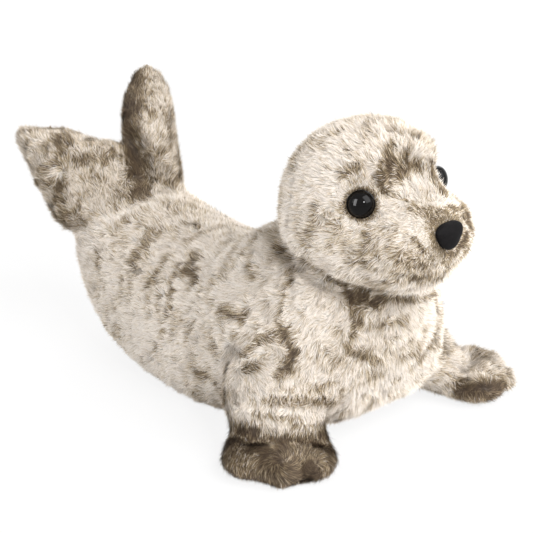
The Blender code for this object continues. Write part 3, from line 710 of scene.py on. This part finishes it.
def ground_colour(cloth):
    """Depth of brown between the streaks: pale, but brown on the pads and duller on the hind flippers."""
    height = cloth.points[:, 2]
    ground = np.full(len(cloth.points), GROUND)
    ground[cloth.owner == HEAD] = HEAD_GROUND
    ground[cloth.owner >= FIRST_HIND] = HIND_GROUND
    for node, pad_height in PAD_HEIGHTS.items():
        own = cloth.owner == BAGS.index(node)
        ground[own] += (PAD_GROUND - GROUND) * fade(height[own], pad_height, pad_height + PAD_EDGE)
    return ground


def placed_streaks(cloth):
    """Streaks as (path, half width, depth) on the cloth, those on the right flank on the left too."""
    for x0, y0, x1, y1, width, depth in HEAD_STREAKS + TORSO_STREAKS + FORE_STREAKS + HIND_STREAKS:
        steps = 1 + int(math.hypot(x1 - x0, y1 - y0) / STREAK_STEP)
        shares = [step / steps for step in range(steps + 1)]
        pixels = [(x0 + (x1 - x0) * share, y0 + (y1 - y0) * share) for share in shares]
        path = np.array([seen_at(cloth.tree, *pixel)[0] for pixel in pixels])
        size = width * (Vector(path[0]) - CAMERA_PLACE).length / CAMERA_FOCUS
        yield path, size, depth
        if path[:, 1].max() < MIRROR_FROM:
            twin = path * (1, -1, 1) + rng.normal(size=3) * MIRROR_JITTER
            twin = np.array([cloth.tree.find_nearest(Vector(point))[0] for point in twin])
            yield twin, size, depth * MIRROR_DEPTH


def pile_lengths(cloth, buttons):
    """Length of the pile at each point: short on the muzzle, round the eyes and in the creases."""
    points = cloth.points
    length = np.full(len(points), PILE_LENGTH)
    nose = np.array(buttons[-1].seat)
    share, inner, outer = MUZZLE_CUT
    length *= 1 - share * fade(np.linalg.norm(points - nose, axis=1), inner, outer)
    share, inner, outer = BUTTON_CUT
    for button in buttons:
        near = np.linalg.norm(points - np.array(button.seat), axis=1)
        length *= 1 - share * fade(near, button.radius + inner, button.radius + outer)
    share, inner, outer = CREASE_CUT
    for path in cloth.crease_paths:
        length *= 1 - share * fade(path_distance(points, path), inner, outer)
    return length


def bare_under(button, points):
    """True where a point is covered by an eye or the nose."""
    radius, height = button.reach(points)
    return (radius < button.covered) & (np.abs(height) < BUTTON_DEPTH)


# Pieces

def add_piece(name, data, material, nodes=()):
    """Link a finished mesh as a piece of the seal."""
    data.materials.clear()
    data.materials.append(material)
    piece = bpy.data.objects.new(name, data)
    bpy.context.scene.collection.objects.link(piece)
    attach(piece, "root")
    if nodes:
        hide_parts(*nodes)
    return piece


def add_skins(cloth, coat, face_bag, material):
    """One closed cloth skin for each bag, capped at its seams."""
    for index, node in enumerate(BAGS):
        skin = cloth.mesh.copy()
        skin.verts.ensure_lookup_table()
        layer = skin.verts.layers.float.new("coat")
        for vertex, value in zip(skin.verts, coat):
            vertex[layer] = value
        skin.faces.ensure_lookup_table()
        others = [skin.faces[number] for number in np.flatnonzero(face_bag != index)]
        bmesh.ops.delete(skin, geom=others, context="FACES")
        rim = [edge for edge in skin.edges if edge.is_boundary]
        bmesh.ops.holes_fill(skin, edges=rim, sides=0)
        bmesh.ops.triangulate(skin, faces=[face for face in skin.faces if len(face.verts) > 4])
        data = bpy.data.meshes.new(node + "_skin")
        skin.to_mesh(data)
        skin.free()
        data.shade_smooth()
        piece = add_piece(node + "_skin", data, material, [node])


class Pile:
    """Every blade of the pile on some triangles of the cloth, as arrays."""

    def __init__(self, cloth, triangles, comb, coat, lengths, buttons):
        area = areas(cloth.points[triangles])
        count = int(area.sum() * PILE_PER_SQUARE_METRE)
        reach = np.cumsum(area)
        picks = np.searchsorted(reach, (np.arange(count) + rng.random(count)) / count * reach[-1])
        picks = np.minimum(picks, len(triangles) - 1)
        weights = rng.random((count, 2))
        flip = weights.sum(axis=1) > 1
        weights[flip] = 1 - weights[flip]
        weights = np.column_stack((1 - weights.sum(axis=1), weights))[:, :, None]
        chosen = triangles[picks]
        self.roots = (cloth.points[chosen] * weights).sum(axis=1)
        up = (cloth.normals[chosen] * weights).sum(axis=1)
        lay = (comb[chosen] * weights).sum(axis=1)
        across = (coat.across[chosen] * weights).sum(axis=1)
        ground = (coat.ground[chosen] * weights[:, :, 0]).sum(axis=1)
        length = (lengths[chosen] * weights[:, :, 0]).sum(axis=1)
        shown = ~np.any([bare_under(button, self.roots) for button in buttons], axis=0)
        self.roots, up, lay = self.roots[shown], up[shown], lay[shown]
        self.grow(up, lay, length[shown])
        shown_at = self.roots + SHOWN_SHARE * (self.tips - self.roots)
        self.coat = coat.depth(shown_at, across[shown], ground[shown])

    def grow(self, up, lay, length):
        """Set the blades' tips and widths."""
        count = len(self.roots)
        up = unit(up)
        lay = unit(lay - (lay * up).sum(axis=1, keepdims=True) * up)
        lay = unit(lay + HAIR_SWAY * rng.normal(size=(count, 3)))
        lean = PILE_LEAN + LEAN_SPREAD * rng.normal(size=count)
        stray = rng.random(count) < STRAY_SHARE
        lean[stray] += STRAY_LEAN
        length = length * (1 + LENGTH_SPREAD * rng.normal(size=count)).clip(*LENGTH_LIMITS)
        run = unit(lay * np.cos(lean)[:, None] + up * np.sin(lean)[:, None])
        self.tips = self.roots + run * length[:, None]
        self.tips[:, 2] = np.maximum(self.tips[:, 2], PILE_FLOOR)
        self.roots[:, 2] = np.maximum(self.roots[:, 2], PILE_FLOOR)
        width = PILE_WIDTH * (WIDTH_LEAST + WIDTH_SPAN * rng.random(count))
        self.sides = unit(np.cross(run, up)) * width[:, None] / 2

    def mesh(self, name):
        """Blades as triangles, with the coat across and the root to the tip up their UV map."""
        count = len(self.roots)
        corners = np.stack((self.roots - self.sides, self.roots + self.sides, self.tips), axis=1)
        data = bpy.data.meshes.new(name)
        data.vertices.add(count * 3)
        data.vertices.foreach_set("co", corners.astype(np.float32).ravel())
        data.loops.add(count * 3)
        data.loops.foreach_set("vertex_index", np.arange(count * 3, dtype=np.int32))
        data.polygons.add(count)
        data.polygons.foreach_set("loop_start", np.arange(0, count * 3, 3, dtype=np.int32))
        data.update()
        tint = (TONE_SPREAD + MIX_SPREAD * self.coat * (1 - self.coat)) * rng.normal(size=count)
        tint += np.where(rng.random(count) < FLECK_SHARE, FLECK_DEPTH, 0)
        tip = np.clip(self.coat * (1 - TIP_PALING) + tint, MAP_MARGIN, 1 - MAP_MARGIN)
        # Painted shade: the root corners are browner than the blade's own colour
        root = np.clip(self.coat + tint + PAINTED_ROOT_DARKENING, MAP_MARGIN, 1 - MAP_MARGIN)
        across = np.stack((root - MAP_MARGIN, root + MAP_MARGIN, tip), axis=1)
        upward = np.broadcast_to(MAP_HEIGHTS, across.shape)
        layer = data.uv_layers.new(name="OFBake")
        layer.uv.foreach_set("vector", np.stack((across, upward), axis=2).astype(np.float32).ravel())
        return data


def unit(vectors):
    """Vectors at length 1."""
    return vectors / np.maximum(np.linalg.norm(vectors, axis=1, keepdims=True), 1e-12)


def areas(corners):
    """Area of each triangle from its three corners."""
    return np.linalg.norm(np.cross(corners[:, 1] - corners[:, 0], corners[:, 2] - corners[:, 0]), axis=1) / 2


def add_pile(cloth, comb, coat, lengths, face_bag, buttons, material):
    """Pile of each bag, in as many pieces as the most blades of one piece allow."""
    triangles = []
    bags = []
    for face, bag in zip(cloth.faces, face_bag):
        for corner in range(1, len(face) - 1):
            triangles.append((face[0], face[corner], face[corner + 1]))
            bags.append(bag)
    triangles = np.array(triangles)
    bags = np.array(bags)
    for index, node in enumerate(BAGS):
        own = triangles[bags == index]
        middle = cloth.points[own].mean(axis=1)
        own = own[np.argsort(middle[:, 0])]
        area = areas(cloth.points[own])
        parts = math.ceil(area.sum() * PILE_PER_SQUARE_METRE / MOST_BLADES)
        cuts = np.searchsorted(np.cumsum(area), area.sum() * np.arange(1, parts) / parts)
        for number, part in enumerate(np.split(own, cuts)):
            name = node + "_pile" + (f"_{number + 1}" if parts > 1 else "")
            pile = Pile(cloth, part, comb, coat, lengths, buttons)
            piece = add_piece(name, pile.mesh(name), material)


def turned(profile, steps):
    """Closed solid turned about Z from (radius, height) points, top to bottom."""
    mesh = bmesh.new()
    corners = [mesh.verts.new((radius, 0, height)) for radius, height in profile]
    edges = [mesh.edges.new(pair) for pair in zip(corners, corners[1:])]
    bmesh.ops.spin(mesh, geom=corners + edges, cent=(0, 0, 0), axis=(0, 0, 1), angle=2 * math.pi,
                   steps=steps, use_merge=True)
    bmesh.ops.remove_doubles(mesh, verts=mesh.verts, dist=MERGE)
    bmesh.ops.recalc_face_normals(mesh, faces=mesh.faces)
    return mesh


def dome_profile(radius, height, rim, steps):
    """Dome over an upright rim with a softened edge."""
    arc = [math.pi / 2 * step / steps for step in range(steps + 1)]
    return [(radius * math.sin(angle), rim + (height - rim) * math.cos(angle)) for angle in arc]


def dome_mesh(name, profile, sides, button):
    """Solid turned from a profile and set in its seat, smooth but for its crisp edges."""
    mesh = turned(profile, sides)
    if button.flatness < 1:
        shape_nose(mesh)
    mesh.transform(button.matrix)
    data = bpy.data.meshes.new(name)
    mesh.to_mesh(data)
    mesh.free()
    data.shade_smooth()
    data.set_sharp_from_angle(angle=CRISP_EDGE)
    return data


def add_eyes(buttons, material):
    """Glossy domed eyes, each on a narrow collar, with its shank."""
    for node, button in zip(EYES, buttons):
        profile = dome_profile(button.radius - EYE_COLLAR, button.dome, EYE_RIM, DOME_STEPS["eye"])
        profile += [(button.radius - EYE_COLLAR * inward, EYE_RIM * up) for inward, up in EYE_EDGE]
        profile += [(button.radius, 0), (SHANK_RADIUS, 0), (SHANK_RADIUS, -SHANK_LENGTH), (0, -SHANK_LENGTH)]
        data = dome_mesh(node + "_dome", profile, DOME_SIDES["eye"], button)
        piece = add_piece(node + "_dome", data, material, [node])


def shape_nose(mesh):
    """Draw the dome of the nose out to three corners, and flatten it."""
    for vertex in mesh.verts:
        if vertex.co.z > -MERGE and math.hypot(vertex.co.x, vertex.co.y) > SHANK_RADIUS * SHANK_CLEAR:
            corner = math.cos(NOSE_CORNERS * (math.atan2(vertex.co.y, vertex.co.x) - NOSE_TURN))
            vertex.co.x *= 1 + NOSE_CORNER * corner
            vertex.co.y *= (1 + NOSE_CORNER * corner) * NOSE_HEIGHT_SHARE


def add_nose(button, material):
    """Flocked three-cornered nose with its shank."""
    profile = dome_profile(NOSE_RADIUS, button.dome, NOSE_RIM, DOME_STEPS["nose"])
    profile += [(NOSE_RADIUS, 0), (SHANK_RADIUS, 0)]
    profile += [(SHANK_RADIUS, -NOSE_SHANK_LENGTH), (0, -NOSE_SHANK_LENGTH)]
    data = dome_mesh("nose_flocked", profile, DOME_SIDES["nose"], button)
    piece = add_piece("nose_flocked", data, material, ["nose"])


# Materials

def new_material(name):
    """Empty material with its output and a Principled shader."""
    material = bpy.data.materials.new(name)
    material.use_nodes = True
    tree = material.node_tree
    return material, tree, tree.nodes["Principled BSDF"]


def add_node(tree, kind, settings=None, **inputs):
    """Add a shader node, set it, and feed its inputs, named or numbered as i0, with values or outputs."""
    made = tree.nodes.new("ShaderNode" + kind)
    for name, value in (settings or {}).items():
        setattr(made, name, value)
    for name, value in inputs.items():
        socket = made.inputs[int(name[1:])] if name[0] == "i" and name[1:].isdigit() else made.inputs[name]
        if isinstance(value, bpy.types.NodeSocket):
            tree.links.new(value, socket)
        else:
            socket.default_value = value
    return made


def ranged(tree, value, spread, results, settings=None):
    """Value mapped from the ends of one range to the ends of another."""
    mapped = add_node(tree, "MapRange", settings, i0=value, i1=spread[0], i2=spread[1],
                      i3=results[0], i4=results[1])
    return mapped.outputs["Result"]


def two_tones(tree, value, tones, ends=(0.0, 1.0)):
    """Colour that runs between two tones as a value runs between its ends."""
    ramp = add_node(tree, "ValToRGB", i0=value)
    for stop, tone, end in zip(ramp.color_ramp.elements, tones, ends):
        stop.position = end
        stop.color = (*tone, 1)
    return ramp.outputs["Color"]


def noise(tree, **inputs):
    """Noise that rides on the piece's own coordinates."""
    place = add_node(tree, "TexCoord")
    return add_node(tree, "TexNoise", i0=place.outputs["Object"], **inputs).outputs["Fac"]


def bumped(tree, height, strength, distance):
    """Normal that is roughened by a height."""
    return add_node(tree, "Bump", Strength=strength, Distance=distance, Height=height).outputs["Normal"]


def link_finish(tree, shader, colour, roughness, normal=None):
    """Feed a shader its colour, its roughness and, where one is given, its normal."""
    tree.links.new(colour, shader.inputs["Base Color"])
    tree.links.new(roughness, shader.inputs["Roughness"])
    if normal is not None:
        tree.links.new(normal, shader.inputs["Normal"])


def pile_dye_and_shade_group():
    """Colour and roughness of dyed pile from the depth of brown and the share from root to tip, darkened
    towards the root by painted shade.
    """
    group = bpy.data.node_groups.new("pile_dye_and_shade", "ShaderNodeTree")
    group.interface.new_socket("Coat", in_out="INPUT", socket_type="NodeSocketFloat")
    group.interface.new_socket("Along", in_out="INPUT", socket_type="NodeSocketFloat")
    group.interface.new_socket("Color", in_out="OUTPUT", socket_type="NodeSocketColor")
    group.interface.new_socket("Roughness", in_out="OUTPUT", socket_type="NodeSocketFloat")
    entry = group.nodes.new("NodeGroupInput")
    ending = group.nodes.new("NodeGroupOutput")
    ramp = add_node(group, "ValToRGB", i0=entry.outputs["Coat"])
    stops = ramp.color_ramp.elements
    while len(stops) < len(PALETTE):
        stops.new(0.5)
    for stop, (place, colour) in zip(stops, PALETTE):
        stop.position = place
        stop.color = (*colour, 1)
    # Painted shade: darker towards the root, where the pile shades itself
    shade = ranged(group, entry.outputs["Along"], (0.0, ROOT_SHADE_REACH), (ROOT_SHADE, 1.0),
                   {"interpolation_type": "SMOOTHSTEP"})
    dyed_and_shaded = add_node(group, "Mix", {"data_type": "RGBA", "blend_type": "MULTIPLY"}, i0=1.0,
                    i6=ramp.outputs["Color"], i7=shade)
    rough = ranged(group, entry.outputs["Coat"], (0.0, 1.0), PILE_ROUGHNESS)
    group.links.new(dyed_and_shaded.outputs[2], ending.inputs["Color"])
    group.links.new(rough, ending.inputs["Roughness"])
    return group


def pile_material(dye_and_shade):
    """Dyed acrylic pile, darkened towards its roots by painted shade."""
    material, tree, shader = new_material("combed_pile")
    place = add_node(tree, "UVMap", {"uv_map": "OFBake"})
    split = add_node(tree, "SeparateXYZ", i0=place.outputs["UV"])
    tint = add_node(tree, "Group", {"node_tree": dye_and_shade}, Coat=split.outputs["X"], Along=split.outputs["Y"])
    link_finish(tree, shader, tint.outputs["Color"], tint.outputs["Roughness"])
    shader.inputs["Specular IOR Level"].default_value = PILE_GLOSS
    return material


def cloth_material(dye_and_shade):
    """Knitted backing cloth under the pile, in the pile's colour darkened by the painted shade of its roots,
    more or less with the knit.
    """
    material, tree, shader = new_material("knitted_backing")
    coat = add_node(tree, "Attribute", {"attribute_name": "coat"})
    place = add_node(tree, "TexCoord")
    knit = add_node(tree, "TexVoronoi", i0=place.outputs["Object"], Scale=KNIT_SCALE).outputs["Distance"]
    # Painted shade: the knit sets how dark the root shade on the backing is
    along = ranged(tree, knit, KNIT_RANGE, KNIT_DEPTHS)
    tint = add_node(tree, "Group", {"node_tree": dye_and_shade}, Coat=coat.outputs["Fac"], Along=along)
    bump = bumped(tree, knit, *KNIT_BUMP)
    link_finish(tree, shader, tint.outputs["Color"], tint.outputs["Roughness"], bump)
    return material


def eye_material():
    """Polished black plastic with faint moulding haze."""
    material, tree, shader = new_material("polished_eye")
    haze = noise(tree, Scale=HAZE_SCALE, Detail=4.0)
    tone = two_tones(tree, haze, EYE_TONES)
    link_finish(tree, shader, tone, ranged(tree, haze, NOISE_RANGE, EYE_ROUGHNESS))
    shader.inputs["Specular IOR Level"].default_value = EYE_GLOSS
    return material


def nose_material():
    """Black flock: a fine velvety grain with worn, paler high spots."""
    material, tree, shader = new_material("flocked_nose")
    grain = noise(tree, Scale=FLOCK_SCALE, Detail=3.0)
    drift = noise(tree, Scale=WEAR_SCALE, Detail=2.0)
    mixed = add_node(tree, "Math", {"operation": "MULTIPLY"}, i0=grain, i1=drift)
    tone = two_tones(tree, mixed.outputs["Value"], NOSE_TONES, NOSE_TONE_ENDS)
    rough = ranged(tree, drift, NOISE_RANGE, NOSE_ROUGHNESS)
    link_finish(tree, shader, tone, rough, bumped(tree, grain, *FLOCK_BUMP))
    shader.inputs["Specular IOR Level"].default_value = NOSE_GLOSS
    return material


def washer_material():
    """Milky moulded nylon with flow marks."""
    material, tree, shader = new_material("milky_nylon")
    flow = noise(tree, Scale=FLOW_SCALE, Detail=5.0, Distortion=0.6)
    tone = two_tones(tree, flow, NYLON_TONES)
    rough = ranged(tree, flow, NOISE_RANGE, NYLON_ROUGHNESS)
    link_finish(tree, shader, tone, rough, bumped(tree, flow, *NYLON_BUMP))
    return material


# Stage

def seen_directly(tree):
    """1 where a surface is seen by the camera, in a mirror or through glass, and 0 elsewhere."""
    path = add_node(tree, "LightPath")
    seen = path.outputs["Is Camera Ray"]
    for ray in ("Is Glossy Ray", "Is Transmission Ray"):
        either = add_node(tree, "Math", {"operation": "MAXIMUM"}, i0=seen, i1=path.outputs[ray])
        seen = either.outputs["Value"]
    return seen


def white_to_camera(tree, surface_socket, share):
    """Mix a shader with plain white where it is seen directly."""
    part = add_node(tree, "Math", {"operation": "MULTIPLY"}, i0=seen_directly(tree), i1=share)
    white = add_node(tree, "Emission", Color=(1, 1, 1, 1), Strength=1.0)
    mixed = add_node(tree, "MixShader", i0=part.outputs["Value"], i1=surface_socket,
                     i2=white.outputs["Emission"])
    return mixed.outputs["Shader"]


def add_floor():
    """Wide pale floor."""
    mesh = bmesh.new()
    bmesh.ops.create_circle(mesh, cap_ends=True, segments=FLOOR_SIDES, radius=FLOOR_RADIUS)
    data = bpy.data.meshes.new("floor")
    mesh.to_mesh(data)
    mesh.free()
    floor = bpy.data.objects.new("floor", data)
    bpy.context.scene.collection.objects.link(floor)
    material, tree, shader = new_material("pale_floor")
    shader.inputs["Base Color"].default_value = (FLOOR_TONE, FLOOR_TONE, FLOOR_TONE, 1)
    shader.inputs["Roughness"].default_value = FLOOR_ROUGHNESS
    mixed = white_to_camera(tree, shader.outputs["BSDF"], FLOOR_WHITENESS)
    tree.links.new(mixed, tree.nodes["Material Output"].inputs["Surface"])
    data.materials.append(material)


def add_world():
    """Soft grey surround that looks white."""
    world = bpy.data.worlds.new("surround")
    bpy.context.scene.world = world
    world.use_nodes = True
    tree = world.node_tree
    level = ranged(tree, seen_directly(tree), (0.0, 1.0), (SURROUND_LEVEL, 1.0))
    tree.links.new(level, tree.nodes["Background"].inputs["Strength"])
    tree.nodes["Background"].inputs["Color"].default_value = (1, 1, 1, 1)


def add_lamp(name, place, target, power, width, height):
    """Soft lamp aimed at a point."""
    data = bpy.data.lights.new(name, "AREA")
    data.energy = power
    data.shape = "RECTANGLE"
    data.size = width
    data.size_y = height
    lamp = bpy.data.objects.new(name, data)
    bpy.context.scene.collection.objects.link(lamp)
    aim = (Vector(target) - Vector(place)).to_track_quat("-Z", "Y")
    lamp.matrix_world = Matrix.Translation(place) @ aim.to_matrix().to_4x4()
    return lamp


def add_lights():
    """A key lamp, a side lamp, a window that only glossy surfaces show, a rear lamp and one for the eyes."""
    right, up, back = camera_axes()
    for name, ((rightward, upward, backward, higher), power, width, height) in LAMPS.items():
        place = LAMP_TARGET + right * rightward + up * upward + back * backward + Vector((0, 0, higher))
        lamp = add_lamp(name, place, LAMP_TARGET, power, width, height)
        lamp.visible_diffuse = name != "window_lamp"


def build():
    """Dress the frame."""
    bpy.context.scene.view_settings.view_transform = "Standard"
    add_camera()
    head_low, head_high = bag_box("head")
    head_middle = (head_low + head_high) / 2
    buttons = [Button(node, head_middle) for node in EYES + ("nose",)]
    cloth = Cloth(buttons)
    comb = comb_cloth(cloth, buttons)
    coat = Coat(cloth, comb, buttons)
    lengths = pile_lengths(cloth, buttons)
    face_bag = np.array([np.bincount(cloth.owner[face]).argmax() for face in cloth.faces])
    dye_and_shade = pile_dye_and_shade_group()
    add_skins(cloth, coat.of_cloth, face_bag, cloth_material(dye_and_shade))
    add_pile(cloth, comb, coat, lengths, face_bag, buttons, pile_material(dye_and_shade))
    add_eyes(buttons[:2], eye_material())
    add_nose(buttons[-1], nose_material())
    nylon = washer_material()
    for node in WASHERS:
        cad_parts[node].data.materials.clear()
        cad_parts[node].data.materials.append(nylon)
    add_floor()
    add_world()
    add_lights()


build()
